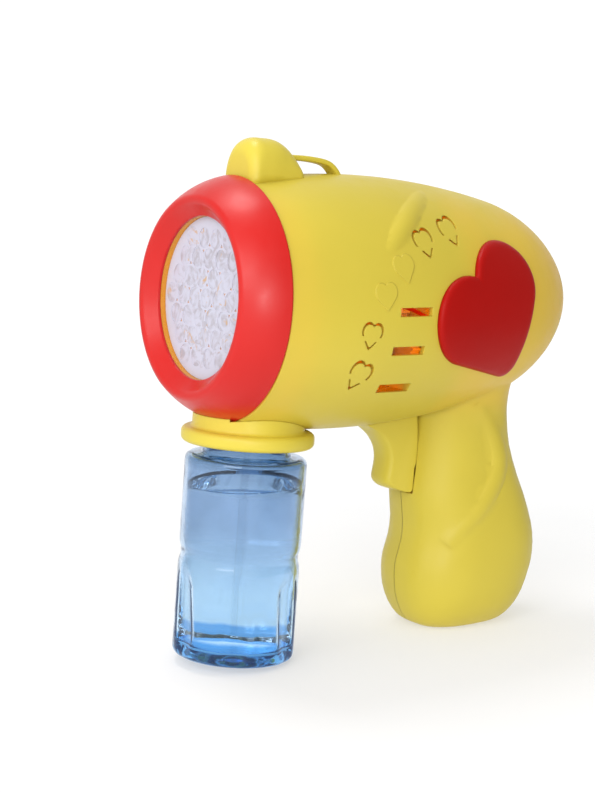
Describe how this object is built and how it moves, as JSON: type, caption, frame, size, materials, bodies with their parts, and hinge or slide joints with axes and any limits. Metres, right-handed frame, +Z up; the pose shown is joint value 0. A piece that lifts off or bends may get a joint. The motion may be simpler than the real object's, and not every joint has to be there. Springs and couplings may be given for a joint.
{
  "type": "bubble blower",
  "caption": "Pistol-grip bubble blower with a round mouth ring, ringed bubble disc, screw-on bottle, trigger, fan, geared hose pump and cells in the grip.",
  "frame": {"origin": "on the table under the middle of the part's box; it stands on the rear edge of the bottle and the grip base", "axes": "+Z up, -X towards the mouth, -Y towards the pictured side"},
  "size_m": [0.1534, 0.0858, 0.1703],
  "materials": {
    "yellow": "satin",
    "red": "semi-gloss",
    "badge": "semi-gloss",
    "amber": "gloss",
    "white": "satin",
    "gears": "satin",
    "grey": "satin",
    "steel": "bare",
    "bottle": "clear blue plastic, drawn as glass",
    "hose": "soft clear plastic",
    "gasket": "matt",
    "switch": "satin",
    "cells": "plain sleeve",
    "wire_red": "satin",
    "wire_black": "satin"
  },
  "bodies": {
    "housing": {"left_housing": "yellow", "right_housing": "yellow", "front_bezel": "red", "nozzle_tube": "amber", "bubble_disc": "white", "drip_ring": "white", "bottle_collar": "yellow", "dip_tube": "hose", "top_fin": "yellow", "heart_badge": "badge", "motor_can": "steel", "motor_cap": "white", "motor_bracket": "grey", "idler_pin": "steel", "pump_housing": "grey", "pump_cover": "grey", "pump_hose": "hose", "trigger_pin": "steel", "switch_body": "switch", "battery_cradle": "yellow", "cell_front": "cells", "cell_middle": "cells", "cell_rear": "cells", "contacts_top": "steel", "contacts_bottom": "steel", "housing_screws": "steel", "wire_red": "wire_red", "wire_black": "wire_black"},
    "trigger": {"trigger": "yellow"},
    "plunger": {"switch_plunger": "switch"},
    "fan": {"fan": "white", "motor_shaft": "steel", "pinion": "gears"},
    "idler": {"idler_gear": "gears"},
    "pump": {"pump_rotor": "gears", "pump_rollers": "gears", "pump_gear": "gears"},
    "gasket": {"neck_gasket": "gasket"},
    "bottle": {"bottle": "bottle"},
    "door": {"battery_door": "yellow", "door_screw": "steel"}
  },
  "joints": [
    {"name": "trigger_pull", "type": "hinge", "parent": "housing", "child": "trigger", "pos_m": [0.01705, 0, 0.08374], "axis": [0, -1, 0], "range_deg": [0, 6], "stiffness_Nm_per_rad": 0.4, "springref_deg": -2.86},
    {"name": "switch_press", "type": "slide", "parent": "housing", "child": "plunger", "axis": [0.9968, 0, -0.0802], "range_m": [0, 0.00182]},
    {"name": "fan_spin", "type": "hinge", "parent": "housing", "child": "fan", "pos_m": [-0.07032, 0, 0.12007], "axis": [0.9968, 0, -0.0802], "continuous": true},
    {"name": "idler_spin", "type": "hinge", "parent": "housing", "child": "idler", "pos_m": [-0.07162, 0, 0.1039], "axis": [0.9968, 0, -0.0802], "continuous": true},
    {"name": "pump_spin", "type": "hinge", "parent": "housing", "child": "pump", "pos_m": [-0.07032, 0, 0.12007], "axis": [0.9968, 0, -0.0802], "continuous": true},
    {"name": "bottle_lower", "type": "slide", "parent": "housing", "child": "gasket", "axis": [-0.0802, 0, -0.9968], "range_m": [0, 0.00601]},
    {"name": "bottle_turn", "type": "hinge", "parent": "gasket", "child": "bottle", "pos_m": [-0.05705, 0, 0.00142], "axis": [-0.0802, 0, -0.9968], "range_deg": [0, 720]},
    {"name": "door_lift", "type": "slide", "parent": "housing", "child": "door", "axis": [0, 1, 0], "range_m": [0, 0.03]}
  ],
  "couplings": [
    {"joint": "switch_press", "follows": "trigger_pull", "m_per_rad": 0.017},
    {"joint": "idler_spin", "follows": "fan_spin", "ratio": -0.35294},
    {"joint": "pump_spin", "follows": "fan_spin", "ratio": 0.12457},
    {"joint": "bottle_lower", "follows": "bottle_turn", "m_per_rad": 0.00047746}
  ]
}
